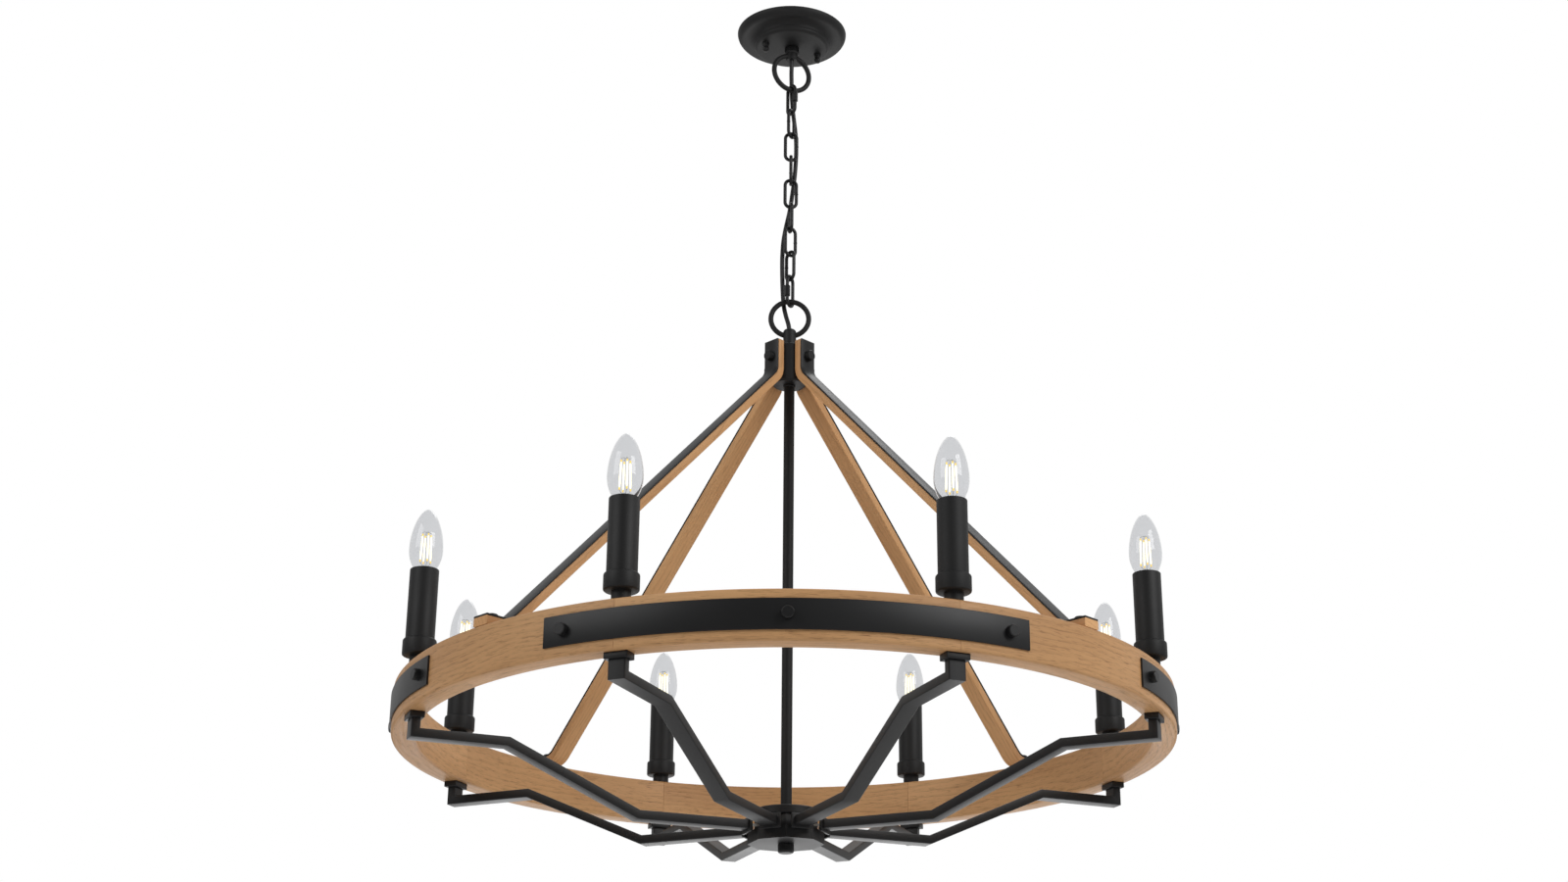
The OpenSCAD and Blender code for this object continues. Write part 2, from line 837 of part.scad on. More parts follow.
module arm(k) {
    half = arm_t / 2;
    void = half - arm_wall;
    turn = candle_start + (k - 1) * candle_step;
    color(BLACK) difference() {
        union() {
            blade(concat(mitred(arm_path, half), reversed(mitred(arm_path, -half))), arm_w, turn);
            rotate([0, 0, turn]) {
                translate([ring_mid_r - arm_cap.x / 2, -arm_cap.y / 2, ring_bottom - arm_cap.z])
                    cube(arm_cap);
                translate([flange_r, -flange.y / 2, arm_lower_z - flange.z / 2])
                    cube(flange);
                translate([core_flat_r - core_wall - 1, 0, spigot_z])
                    rotate([0, 90, 0])
                        cylinder(h = flange_r - core_flat_r + core_wall + 2, d = spigot_d, $fn = 32);
            }
        }
        blade(
            concat(mitred(arm_path, void), reversed(mitred(arm_path, -void))),
            arm_w - 2 * arm_wall, turn
        );
        rotate([0, 0, turn]) {
            translate([ring_mid_r, 0, ring_bottom - arm_cap.z])
                cylinder(h = arm_cap.z + 1, d = pipe_d + 2 * hole_gap, $fn = 32);
            translate([core_flat_r - core_wall - 2, 0, spigot_z])
                rotate([0, 90, 0])
                    cylinder(h = flange_r + 6 - core_flat_r + core_wall, d = spigot_bore_d, $fn = 32);
        }
    }
}

module hub_top_disc() {
    color(BLACK) translate([0, 0, core_top]) difference() {
        rotate_extrude()
            polygon([
                [0, 0], [disc_d / 2 - 1, 0], [disc_d / 2, 1],
                [disc_d / 2, disc_h - 1], [disc_d / 2 - 1, disc_h], [0, disc_h]
            ]);
        translate([0, 0, -1])
            cylinder(h = disc_h + 2, d = pipe_d + 2 * hole_gap);
    }
}

module hub_core() {
    inner_d = core_d - 2 * core_wall / cos(22.5);
    color(BLACK) difference() {
        translate([0, 0, core_bottom])
            cylinder(h = core_h, d = core_d, $fn = 8);
        translate([0, 0, core_bottom - 1])
            cylinder(h = core_h + 2, d = inner_d, $fn = 8);
        for (k = [0 : candles - 1])
            rotate([0, 0, candle_start + k * candle_step])
                translate([core_flat_r - core_wall - 3, 0, spigot_z])
                    rotate([0, 90, 0])
                        cylinder(h = core_wall + 6, d = spigot_d + 2 * slide_gap, $fn = 32);
    }
}

module hub_bottom_plate() {
    color(BLACK) difference() {
        translate([0, 0, bottom_face])
            cylinder(h = bottom_h, d = bottom_d, $fn = 8);
        translate([0, 0, core_bottom - pocket_depth])
            cylinder(h = pocket_depth + 1, d = pocket_d);
        translate([0, 0, bottom_face - 1])
            cylinder(h = bottom_h, d = pipe_d + 2 * hole_gap);
    }
}

module finial() {
    r = finial_d / 2;
    ease = 2.5;
    color(BLACK) translate([0, 0, bottom_face - finial_h]) difference() {
        rotate_extrude()
            polygon(concat(
                [[0, finial_h], [0, 0]],
                [for (a = [-90 : 15 : 0]) [r - ease + ease * cos(a), ease + ease * sin(a)]],
                [[r, finial_h - 0.6], [r - 0.6, finial_h]]
            ));
        translate([0, 0, 2])
            cylinder(h = finial_h, d = pipe_d + 2 * slide_gap);
    }
}

// A flat twin lead through the given points of the plane through the axis at angle a.
module lead(points, d, a) {
    blade(concat(mitred(points, d / 2), reversed(mitred(points, -d / 2))), d, a);
}

module wiring_harness() {
    lead_d = 2.6;
    tray = core_bottom - pocket_depth;
    splice_r = [7, 21];
    splice_h = 7;
    drop_r = 18;
    color(PLASTIC) union() {
        translate([0, 0, tray]) difference() {
            cylinder(h = splice_h, r = splice_r[1]);
            translate([0, 0, -1])
                cylinder(h = splice_h + 2, r = splice_r[0]);
        }
        for (k = [0 : candles - 1])
            lead([
                [drop_r, tray + splice_h - 1],
                [drop_r, spigot_z],
                [flange_r + flange.x, spigot_z],
                [arm_ankle, arm_lower_z],
                [arm_knee, arm_upper_z],
                [ring_mid_r, arm_upper_z],
                [ring_mid_r, holder_top - holder_h - 6]
            ], lead_d, candle_start + k * candle_step);
        // the supply lead's two cores, from the rod's outlets to the splice
        for (side = [0, 180])
            lead([
                [1.2, spigot_z + 3],
                [1.2, spigot_z],
                [12, spigot_z],
                [12, tray + splice_h - 1]
            ], lead_d - 0.6, side);
    }
}

// ---------- candles ----------

module candle_stems() {
    pipe_bottom = -ring_h - arm_cap.z;
    pipe_l = stem_h + cup_floor_t + 12 - pipe_bottom;
    color(BLACK) at_candles() translate([0, 0, ring_top]) difference() {
        union() {
            rotate_extrude()
                polygon([
                    [0, 0], [stem_d / 2 - 0.8, 0], [stem_d / 2, 0.8],
                    [stem_d / 2, stem_h], [0, stem_h]
                ]);
            translate([0, 0, pipe_bottom])
                cylinder(h = pipe_l, d = pipe_d);
        }
        translate([0, 0, pipe_bottom - 1])
            cylinder(h = pipe_l + 2, d = pipe_bore_d);
    }
}

module candle_cups() {
    r = cup_d / 2;
    ease = 2;
    color(BLACK) at_candles() translate([0, 0, cup_bottom]) difference() {
        rotate_extrude()
            polygon([
                [0, 0], [r - ease, 0], [r, ease], [r, cup_h - ease],
                [sleeve_d / 2 + 0.6, cup_h], [0, cup_h]
            ]);
        translate([0, 0, cup_floor_t])
            cylinder(h = cup_h, d = sleeve_d + 2 * hole_gap);
        translate([0, 0, -1])
            cylinder(h = cup_floor_t + 2, d = pipe_d + 2 * hole_gap);
    }
}

module candle_sleeves() {
    tall = ring_top + sleeve_top - cup_floor;
    r = sleeve_d / 2;
    color(BLACK) at_candles() translate([0, 0, cup_floor])
        rotate_extrude()
            polygon([
                [r - sleeve_wall, 0], [r, 0], [r, tall - 0.6], [r - 0.6, tall],
                [r - sleeve_wall, tall]
            ]);
}

module lampholders() {
    color(PLASTIC) at_candles() difference() {
        union() {
            translate([0, 0, holder_top - holder_h])
                cylinder(h = holder_h, d = holder_d);
            translate([0, 0, cup_floor])
                cylinder(h = holder_top - holder_h - cup_floor, d = holder_post_d);
        }
        translate([0, 0, cup_floor - 1])
            cylinder(h = 13.5, d = pipe_d + 2 * slide_gap);
        translate([0, 0, cup_floor])
            cylinder(h = holder_top - holder_h - cup_floor + 2, d = pipe_bore_d);
        translate([0, 0, holder_top - socket_depth])
            cylinder(h = socket_depth + 1, d = cap_d + 2 * hole_gap);
    }
}

module bulb_caps() {
    color(STEEL) at_candles() {
        translate([0, 0, cap_bottom]) {
            cylinder(h = 1.5, d = 5, $fn = 32);
            translate([0, 0, 1.5])
                cylinder(h = 3, d1 = 5, d2 = cap_d - 1);
            translate([0, 0, 4.5])
                cylinder(h = cap_top - cap_bottom - 4.5, d = cap_d);
        }
    }
}

// Radius of the glass at a share t of its height: neck, belly and rounded tip.
function glass_r(t) =
    t < belly_at
        ? glass_neck_r + (bulb_d / 2 - glass_neck_r) * (1 - pow(1 - t / belly_at, 2.1))
        : let (u = (t - belly_at) / (1 - belly_at))
            bulb_d / 2 * pow(1 - pow(u, 1.9), 0.68);

function glass_line(wall) = [
    for (i = [0 : 30])
        let (t = i < 30 ? 1 - pow(1 - i / 30, 1.7) : 1)
        [max(glass_r(t) - wall, 0), cap_top + (bulb_h - wall) * t]
];

module bulb_glasses() {
    wall = 0.8;
    color(GLASS, 0.35) at_candles()
        rotate_extrude($fn = 48)
            polygon(concat(glass_line(0), reversed(glass_line(wall))));
}

module bulb_filaments() {
    rod_l = 29;
    rod_r = 3.8;
    lean = 4;
    low = cap_top + 13;
    high = low + rod_l * cos(lean);
    high_r = rod_r - rod_l * sin(lean);
    wire_d = 0.8;
    color(WARM) at_candles() {
        // glass mount and the thin rod that carries the star of upper wires
        translate([0, 0, cap_top])
            cylinder(h = 9, d1 = 11, d2 = 4, $fn = 32);
        translate([0, 0, cap_top + 8])
            cylinder(h = high + 3 - cap_top - 8, d = 1.2, $fn = 24);
        for (q = [0 : 3]) {
            turn = 45 + 90 * q;
            rotate([0, 0, turn])
                translate([rod_r, 0, low])
                    rotate([0, -lean, 0])
                        cylinder(h = rod_l, d = 1.8, $fn = 16);
            lead([[0, cap_top + 8], [rod_r, low - 1.5], [rod_r, low + 0.5]], wire_d, turn);
            lead([[0, high + 2.5], [high_r, high + 1], [high_r, high - 0.5]], wire_d, turn);
        }
    }
}

// ---------- drawing ----------

ceiling_bracket();
canopy_studs();
terminal_block();
canopy();
canopy_cap_nuts();
loop_nipple();
nipple_locknut();
loop_collar();
upper_loop();
quick_link_top();
quick_nut_top();
for (k = [1 : welded_links])
    chain_link(k);
quick_link_bottom();
quick_nut_bottom();
cord();
lower_loop();
head_block();
centre_rod();
rod_nut();
for (k = [1 : 4])
    strut(k);
for (k = [1 : 4])
    strap(k);
foot_bolts();
wood_ring();
for (k = [1 : 4])
    rim_plate(k);
short_bolts();
for (k = [1 : candles])
    arm(k);
hub_top_disc();
hub_core();
hub_bottom_plate();
finial();
wiring_harness();
candle_stems();
candle_cups();
candle_sleeves();
lampholders();
bulb_glasses();
bulb_caps();
bulb_filaments();
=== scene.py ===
"""Looks of a wagon wheel chandelier that hangs on a chain.

Lengths are metres, +Z is up, the origin is the middle of the ceiling face, and the camera
stands on the -Y side. New pieces are surfaces worked out on grids of points; every other
piece is the CAD one with a finish of its own."""
import json
import bpy
import numpy as np
from mathutils import Matrix


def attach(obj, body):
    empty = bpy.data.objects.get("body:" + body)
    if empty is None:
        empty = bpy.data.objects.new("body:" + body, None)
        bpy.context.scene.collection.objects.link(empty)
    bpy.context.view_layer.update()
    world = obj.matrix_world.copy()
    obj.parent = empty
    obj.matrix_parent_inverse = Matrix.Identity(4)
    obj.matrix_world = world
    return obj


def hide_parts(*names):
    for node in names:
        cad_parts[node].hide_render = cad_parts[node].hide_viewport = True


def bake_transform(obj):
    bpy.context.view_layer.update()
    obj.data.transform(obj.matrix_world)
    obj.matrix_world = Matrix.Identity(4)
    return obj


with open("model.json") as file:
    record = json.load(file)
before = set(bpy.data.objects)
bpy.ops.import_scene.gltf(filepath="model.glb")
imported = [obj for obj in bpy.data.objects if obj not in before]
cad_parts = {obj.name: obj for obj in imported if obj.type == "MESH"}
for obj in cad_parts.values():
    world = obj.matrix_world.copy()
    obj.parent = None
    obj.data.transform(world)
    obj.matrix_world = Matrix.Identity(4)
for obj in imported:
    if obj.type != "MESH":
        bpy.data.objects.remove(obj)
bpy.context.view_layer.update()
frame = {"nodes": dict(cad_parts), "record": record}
chance = np.random.default_rng(11)

# ---------- measures: the CAD's, apart from STRAP_LINE's last point and BULB_H ----------

RING_TOP, RING_BOTTOM = -0.8453, -0.8953
RING_OUTER, RING_WIDTH, RING_EASE = 0.420, 0.026, 0.003
CANDLE_R = RING_OUTER - RING_WIDTH / 2
CANDLE_TURNS = 22.5 + 45 * np.arange(8)
STRUT_TURNS = 45 + 90 * np.arange(4)
HEAD_TOP, HEAD_BOTTOM = -0.4203, -0.4668
STRAP_T, STRUT_T, STRUT_W, BEND_R = 0.002, 0.009, 0.021, 0.015
STRAP_R = 0.019 + STRAP_T + STRUT_T
STRAP_LINE = np.array([
    [STRAP_R, HEAD_TOP + 0.001],
    [STRAP_R, HEAD_BOTTOM + 0.008],
    [0.391, RING_TOP + STRAP_T + STRUT_T],
    [0.4188, RING_TOP + STRAP_T + STRUT_T],
])
ARM_W, ARM_T = 0.0178, 0.0095
ARM_CAP = (0.0155, 0.025, 0.0065)
FLANGE = (0.003, 0.025, 0.016)
FLANGE_R = 0.043
ARM_UPPER_Z = RING_BOTTOM - 0.0215
ARM_LOWER_Z = -0.9803
ARM_LINE = np.array([
    [CANDLE_R, RING_BOTTOM - ARM_CAP[2]],
    [CANDLE_R, ARM_UPPER_Z],
    [0.310, ARM_UPPER_Z],
    [0.168, ARM_LOWER_Z],
    [FLANGE_R + FLANGE[0], ARM_LOWER_Z],
])
PLATE_SPAN, PLATE_H, PLATE_T = 65.6, 0.030, 0.002
CAP_TOP = RING_TOP + 0.098
CORD_D = 0.0052
STEM_H, PIPE_R = 0.0096, 0.005
CUP_R, CUP_H, CUP_FLOOR_T = 0.0173, 0.0174, 0.002
SLEEVE_R, SLEEVE_TOP, SLEEVE_WALL = 0.0149, 0.102, 0.0012
SEAT_GAP = 0.0001
ROD_R, ROD_BORE = 0.006, 0.00375
ROD_FOOT, ROD_STEP = -0.9917, RING_TOP - 0.116
ROD_HIGH_STEP, ROD_TOP = HEAD_BOTTOM - 0.0025, HEAD_TOP + 0.012
CANOPY_R, CANOPY_STEP_R, CANOPY_FACE_R = 0.0662, 0.045, 0.04025
CANOPY_DEPTH, CANOPY_WALL, CANOPY_BEAD = 0.020, 0.0012, 0.008
BULB_H, BULB_WALL = 0.0705, 0.0007
BULB_NECK_R, BULB_R, BELLY_SHARE = 0.0082, 0.0175, 0.37
FLOOR_Z, FLOOR_REACH = -1.72, 9

# ---------- camera ----------


def point_camera(place, yaw, pitch, roll, lens, shift_x):
    """A camera at place that looks along the heading yaw, raised by pitch and rolled by roll."""
    yaw, pitch, roll = np.radians([yaw, pitch, roll])
    ahead = np.array([np.sin(yaw) * np.cos(pitch), np.cos(yaw) * np.cos(pitch), np.sin(pitch)])
    right = np.array([np.cos(yaw), -np.sin(yaw), 0.0])
    up = np.cross(right, ahead)
    right, up = (np.cos(roll) * right + np.sin(roll) * up,
                 np.cos(roll) * up - np.sin(roll) * right)
    data = bpy.data.cameras.new("camera")
    data.lens, data.sensor_width, data.shift_x = lens, 36, shift_x
    data.clip_end = 60
    camera = bpy.data.objects.new("camera", data)
    bpy.context.scene.collection.objects.link(camera)
    turned = Matrix(np.stack([right, up, -ahead], 1).tolist()).to_4x4()
    camera.matrix_world = Matrix.Translation(place) @ turned
    bpy.context.scene.camera = camera


point_camera(place=(-0.00142, -2.40618, -1.48308), yaw=2.563, pitch=21.501, roll=-0.503,
             lens=52.025, shift_x=-0.0625)

# ---------- meshes from grids ----------


def quads_of(rows, cols, wrap_rows=False):
    """Index of each quad between neighbouring rows and columns, whose columns run round."""
    i, j = np.meshgrid(np.arange(rows if wrap_rows else rows - 1), np.arange(cols), indexing="ij")
    below, beside = (i + 1) % rows, (j + 1) % cols
    corners = [i * cols + j, i * cols + beside, below * cols + beside, below * cols + j]
    return np.stack(corners, -1).reshape(-1, 4)


def skin(name, grids, material, body, node=None, grain=None, sharp=32,
         hollow=False, cut=None):
    """A piece whose closed skins are grids of rows by columns of points. Each skin's first and
    last rows are closed by a flat face, or joined to each other where the piece is hollow. cut
    is the finish of those flat faces, and grain holds one 3-D grain place for each point."""
    points, faces, flats, start = [], [], [], 0
    for grid in grids:
        rows, cols = grid.shape[:2]
        points.append(grid.reshape(-1, 3))
        faces += (quads_of(rows, cols, hollow) + start).tolist()
        if not hollow:
            flats += [len(faces), len(faces) + 1]
            faces.append((np.arange(cols)[::-1] + start).tolist())
            faces.append((np.arange(cols) + (rows - 1) * cols + start).tolist())
        start += rows * cols
    mesh = bpy.data.meshes.new(name)
    mesh.from_pydata(np.concatenate(points).tolist(), [], faces)
    if grain is not None:
        held = mesh.attributes.new("grain", "FLOAT_VECTOR", "POINT")
        held.data.foreach_set("vector", np.concatenate([g.reshape(-1) for g in grain]))
    mesh.polygons.foreach_set("use_smooth", np.ones(len(mesh.polygons), bool))
    mesh.set_sharp_from_angle(angle=np.radians(sharp))
    mesh.materials.append(material)
    if cut:
        mesh.materials.append(cut)
        for face in flats:
            mesh.polygons[face].material_index = 1
    piece = bpy.data.objects.new(name, mesh)
    bpy.context.scene.collection.objects.link(piece)
    if body:
        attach(piece, body)
    if node:
        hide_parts(node)
    return piece


def soft_rectangle(width, height, ease, steps=3):
    """Outline of a width by height rectangle whose corners are quarter circles of radius ease."""
    ease = max(ease, 1e-5)
    quarter = np.radians([[0], [90], [180], [270]])
    turn = quarter + np.radians(np.linspace(0, 90, steps + 1))
    centre = np.array([[1, 1], [-1, 1], [-1, -1], [1, -1]])[:, None, :]
    arc = np.stack([np.cos(turn), np.sin(turn)], -1) * ease
    return (centre * np.array([width / 2 - ease, height / 2 - ease]) + arc).reshape(-1, 2)


def heading_of(line):
    """Unit heading of each run of a line of points."""
    run = np.diff(line, axis=0)
    return run / np.linalg.norm(run, axis=1, keepdims=True)


def mitres(line):
    """Offset vector of each point for one unit to the left: the bisector of its two runs."""
    ahead = heading_of(line)
    left = np.stack([-ahead[:, 1], ahead[:, 0]], 1)
    before, after = np.vstack([left[:1], left]), np.vstack([left, left[-1:]])
    return (before + after) / (1 + np.sum(before * after, 1, keepdims=True))


def bent_line(line, inset, radius, steps=10):
    """The line moved to its right by inset, its corners drawn as arcs about a centre on their
    left: centre plus (radius + inset) times the right-hand normal, turning corner by corner."""
    ahead, offset = heading_of(line), mitres(line)
    right = -np.stack([-ahead[:, 1], ahead[:, 0]], 1)
    parts = [line[:1] + inset * right[:1]]
    for i in range(1, len(line) - 1):
        turns = np.linspace(*np.arctan2(ahead[i - 1:i + 1, 1], ahead[i - 1:i + 1, 0]), steps + 1)
        normal = np.stack([np.sin(turns), -np.cos(turns)], 1)
        parts.append(line[i] + radius * offset[i] + (radius + inset) * normal)
    parts.append(line[-1:] + inset * right[-1:])
    return np.concatenate(parts)


def upright(grid, turn):
    """Turns points (reach, across, height) about the vertical by turn degrees."""
    a = np.radians(turn)
    reach, across, height = grid[..., 0], grid[..., 1], grid[..., 2]
    return np.stack([reach * np.cos(a) - across * np.sin(a),
                     reach * np.sin(a) + across * np.cos(a), height], -1)


def bar(line, section, turn):
    """A section carried along a line in the upright plane at angle turn: each section point is
    the line's point plus its first coordinate times the mitre, and its second across."""
    offset = mitres(line)
    place = line[:, None, :] + section[None, :, :1] * offset[:, None, :]
    across = np.broadcast_to(section[None, :, 1], place.shape[:2])
    return upright(np.stack([place[..., 0], across, place[..., 1]], -1), turn)[:, ::-1]


def finely(line, step):
    """The line with extra points so that no run is much longer than step."""
    parts = [np.linspace(a, b, max(2, int(np.linalg.norm(b - a) / step) + 1))[:-1]
             for a, b in zip(line[:-1], line[1:])]
    return np.concatenate(parts + [line[-1:]])


def bar_grain(line, section, shift, tilt):
    """Grain place of a bar's points: length along the line, then the section turned by tilt."""
    along = np.concatenate([[0], np.cumsum(np.linalg.norm(np.diff(line, axis=0), axis=1))])
    c, s = np.cos(tilt), np.sin(tilt)
    y = section[:, 0] * c - section[:, 1] * s + shift[1]
    z = section[:, 0] * s + section[:, 1] * c + shift[2]
    rows, cols = len(line), len(section)
    grid = np.stack([np.broadcast_to(along[:, None] + shift[0], (rows, cols)),
                     np.broadcast_to(y, (rows, cols)), np.broadcast_to(z, (rows, cols))], -1)
    return grid[:, ::-1]


def soft_box(size, centre, turn, ease):
    """A box with eased edges: its plan is drawn at heights that round off towards both ends."""
    a = np.radians([0, 30, 60, 90])
    inset, rise = ease * (1 - np.sin(a)), ease * (1 - np.cos(a))
    insets = np.concatenate([inset, inset[::-1]])
    heights = np.concatenate([rise - size[2] / 2, size[2] / 2 - rise[::-1]])
    rows = []
    for i, height in zip(insets, heights):
        plan = soft_rectangle(size[0] - 2 * i, size[1] - 2 * i, ease - i * 0.999)
        rows.append(np.column_stack([plan, np.full(len(plan), height)]))
    return upright(np.stack(rows) + np.asarray(centre), turn)


def lathe(profile, centre=(0, 0, 0), sides=48):
    """A profile of (radius, height) pairs, from low to high, turned about the vertical."""
    a = np.linspace(0, 2 * np.pi, sides, endpoint=False)
    r, h = np.asarray(profile, float).T
    grid = np.stack([r[:, None] * np.cos(a), r[:, None] * np.sin(a),
                     np.broadcast_to(h[:, None], (len(r), sides))], -1)
    return grid + np.asarray(centre)


def tube(line, radius, sides=16):
    """A round tube about a 3-D line that runs mostly up or down: each ring lies across the
    line's heading, on two directions made from the heading and the Y axis."""
    ahead = np.gradient(line, axis=0)
    ahead /= np.linalg.norm(ahead, axis=1, keepdims=True)
    across = np.cross(ahead, [0.0, 1.0, 0.0])
    across /= np.linalg.norm(across, axis=1, keepdims=True)
    over = np.cross(ahead, across)
    a = np.linspace(0, 2 * np.pi, sides, endpoint=False)[None, :, None]
    radius = np.broadcast_to(radius, len(line))[:, None, None]
    return line[:, None] + radius * (np.cos(a) * across[:, None] + np.sin(a) * over[:, None])


# ---------- finishes ----------


def new_finish(name, **sockets):
    """A material whose shader sockets are set to plain values, with its tree and shader."""
    material = bpy.data.materials.new(name)
    material.use_nodes = True
    shader = material.node_tree.nodes["Principled BSDF"]
    for key, value in sockets.items():
        shader.inputs[key.replace("_", " ")].default_value = value
    return material, material.node_tree, shader


def add(tree, kind, sockets=None, **settings):
    """A node of that kind, whose sockets get plain values or links from other nodes' outputs."""
    node = tree.nodes.new("ShaderNode" + kind)
    for key, value in settings.items():
        setattr(node, key, value)
    for key, value in (sockets or {}).items():
        if isinstance(value, bpy.types.NodeSocket):
            tree.links.new(value, node.inputs[key])
        else:
            node.inputs[key].default_value = value
    return node


def stretched_noise(tree, place, scale, size=1.0, detail=3.0):
    """Noise whose pattern is scale times finer along each axis of place."""
    moved = add(tree, "Mapping", {"Vector": place, "Scale": scale})
    noise = add(tree, "TexNoise", {"Vector": moved.outputs[0], "Scale": size, "Detail": detail})
    return noise.outputs["Fac"]


def math(tree, operation, a, b=0.0):
    """One operation on two values, each a number or another node's output."""
    return add(tree, "Math", {0: a, 1: b}, operation=operation).outputs[0]


def ranged(tree, value, low, high, to_low=0.0, to_high=1.0):
    """value moved from one range to another, and held inside it."""
    return add(tree, "MapRange", {"Value": value, "From Min": low, "From Max": high,
                                  "To Min": to_low, "To Max": to_high}).outputs[0]


def object_place(tree):
    """The shaded point on the object's own axes, in metres."""
    return add(tree, "TexCoord").outputs["Object"]


def powder_coat(name, colour, rough):
    """Satin powder coat: a fine orange-peel bump and a slight wander of its sheen."""
    material, tree, shader = new_finish(name, Base_Color=(*colour, 1), Specular_IOR_Level=0.4)
    place = object_place(tree)
    wander = stretched_noise(tree, place, (9, 9, 9), 1.0, 4.0)
    peel = stretched_noise(tree, place, (1, 1, 1), 1300.0, 2.0)
    tree.links.new(ranged(tree, wander, 0.3, 0.7, rough - 0.04, rough + 0.05),
                   shader.inputs["Roughness"])
    bump = add(tree, "Bump", {"Strength": 0.004, "Distance": 0.0002, "Height": peel})
    tree.links.new(bump.outputs[0], shader.inputs["Normal"])
    return material


def ash_wood(name, pale=1.0, grainy=1.0):
    """Clear-coated ash. Growth rings are shells about a pith line beside the board, which
    wander along it, so that cuts show arches; dark pores lie in broken lines along the rings,
    and finer fibres run between them. pale multiplies the ground colour, and a pale above one
    makes a paler copy that paints in light on faces the lamps leave too dark; grainy multiplies
    the pores, the fibres and the relief."""
    pith_y, pith_z, rings_per_metre = 0.05, -0.03, 190.0
    deep, light = np.array([[0.62, 0.330, 0.142], [0.80, 0.455, 0.208]]) * pale
    dark_line = (0.235, 0.100, 0.033, 1)
    material, tree, shader = new_finish(name, Specular_IOR_Level=0.35)
    place = add(tree, "Attribute", attribute_name="grain").outputs["Vector"]
    parts = add(tree, "SeparateXYZ", {0: place}).outputs
    sway = stretched_noise(tree, place, (3.5, 12, 12), 1.0, 2.0)
    ripple = stretched_noise(tree, place, (14, 55, 55), 1.0, 2.0)
    pith = add(tree, "CombineXYZ", {1: math(tree, "ADD", parts[1], pith_y),
                                    2: math(tree, "ADD", parts[2], pith_z)})
    shell = add(tree, "VectorMath", {0: pith.outputs[0]}, operation="LENGTH").outputs["Value"]
    shell = math(tree, "ADD", shell, math(tree, "MULTIPLY", sway, 0.035))
    shell = math(tree, "ADD", shell, math(tree, "MULTIPLY", ripple, 0.007))
    ring = math(tree, "FRACT", math(tree, "MULTIPLY", shell, rings_per_metre))
    late = ranged(tree, ring, 0.45, 0.93)
    patch = ranged(tree, stretched_noise(tree, place, (70, 900, 900), 1.0, 2.0), 0.45, 0.62)
    fibre = ranged(tree, stretched_noise(tree, place, (16, 620, 620), 1.0, 3.0), 0.3, 0.7)
    pore = ranged(tree, stretched_noise(tree, place, (85, 1050, 1050), 1.0, 2.0), 0.58, 0.68)
    tone = stretched_noise(tree, place, (2.5, 16, 16), 1.0, 2.0)
    base = add(tree, "ValToRGB", {"Fac": tone})
    ramp = base.color_ramp.elements
    ramp[0].position, ramp[0].color = 0.3, (*deep, 1)
    ramp[1].position, ramp[1].color = 0.7, (*light, 1)
    line = math(tree, "MULTIPLY", late, patch)
    dark = math(tree, "MULTIPLY", line, 0.27)
    for layer, weight in ((late, 0.05), (fibre, 0.10 * grainy), (pore, 0.36 * grainy)):
        dark = math(tree, "ADD", dark, math(tree, "MULTIPLY", layer, weight))
    # sockets 6 and 7 are the two colours of a colour mix
    shade = add(tree, "Mix", {"Factor": dark, 6: base.outputs[0], 7: dark_line},
                data_type="RGBA")
    tree.links.new(shade.outputs[2], shader.inputs["Base Color"])
    tree.links.new(ranged(tree, fibre, 0.0, 1.0, 0.42, 0.58), shader.inputs["Roughness"])
    depth = math(tree, "ADD", math(tree, "MULTIPLY", line, -1.0),
                 math(tree, "MULTIPLY", pore, -0.6))
    bump = add(tree, "Bump", {"Strength": 0.2 * grainy, "Distance": 0.0003, "Height": depth})
    tree.links.new(bump.outputs[0], shader.inputs["Normal"])
    return material


def cord_sheath():
    """Matt black sheath with a faint lengthwise drag."""
    material, tree, shader = new_finish("cord_sheath", Base_Color=(0.014, 0.014, 0.015, 1))
    drag = stretched_noise(tree, object_place(tree), (900, 900, 30), 1.0, 2.0)
    tree.links.new(ranged(tree, drag, 0.3, 0.7, 0.42, 0.56), shader.inputs["Roughness"])
    bump = add(tree, "Bump", {"Strength": 0.08, "Distance": 0.0002, "Height": drag})
    tree.links.new(bump.outputs[0], shader.inputs["Normal"])
    return material


def zinc_plate():
    """Zinc-plated steel with soft spangles."""
    material, tree, shader = new_finish("zinc_plate", Metallic=1.0)
    spangle = stretched_noise(tree, object_place(tree), (160, 160, 160), 1.0, 3.0)
    tint = add(tree, "ValToRGB", {"Fac": spangle})
    tint.color_ramp.elements[0].color = (0.46, 0.47, 0.5, 1)
    tint.color_ramp.elements[1].color = (0.66, 0.66, 0.66, 1)
    tree.links.new(tint.outputs[0], shader.inputs["Base Color"])
    tree.links.new(ranged(tree, spangle, 0.3, 0.7, 0.3, 0.46), shader.inputs["Roughness"])
    return material


def moulded_plastic():
    """Off-white moulded plastic with a fine spark-eroded grain."""
    material, tree, shader = new_finish("moulded_plastic", Base_Color=(0.76, 0.745, 0.7, 1))
    fleck = stretched_noise(tree, object_place(tree), (1, 1, 1), 1500.0, 2.0)
    tree.links.new(ranged(tree, fleck, 0.3, 0.7, 0.44, 0.56), shader.inputs["Roughness"])
    bump = add(tree, "Bump", {"Strength": 0.05, "Distance": 0.0002, "Height": fleck})
    tree.links.new(bump.outputs[0], shader.inputs["Normal"])
    return material


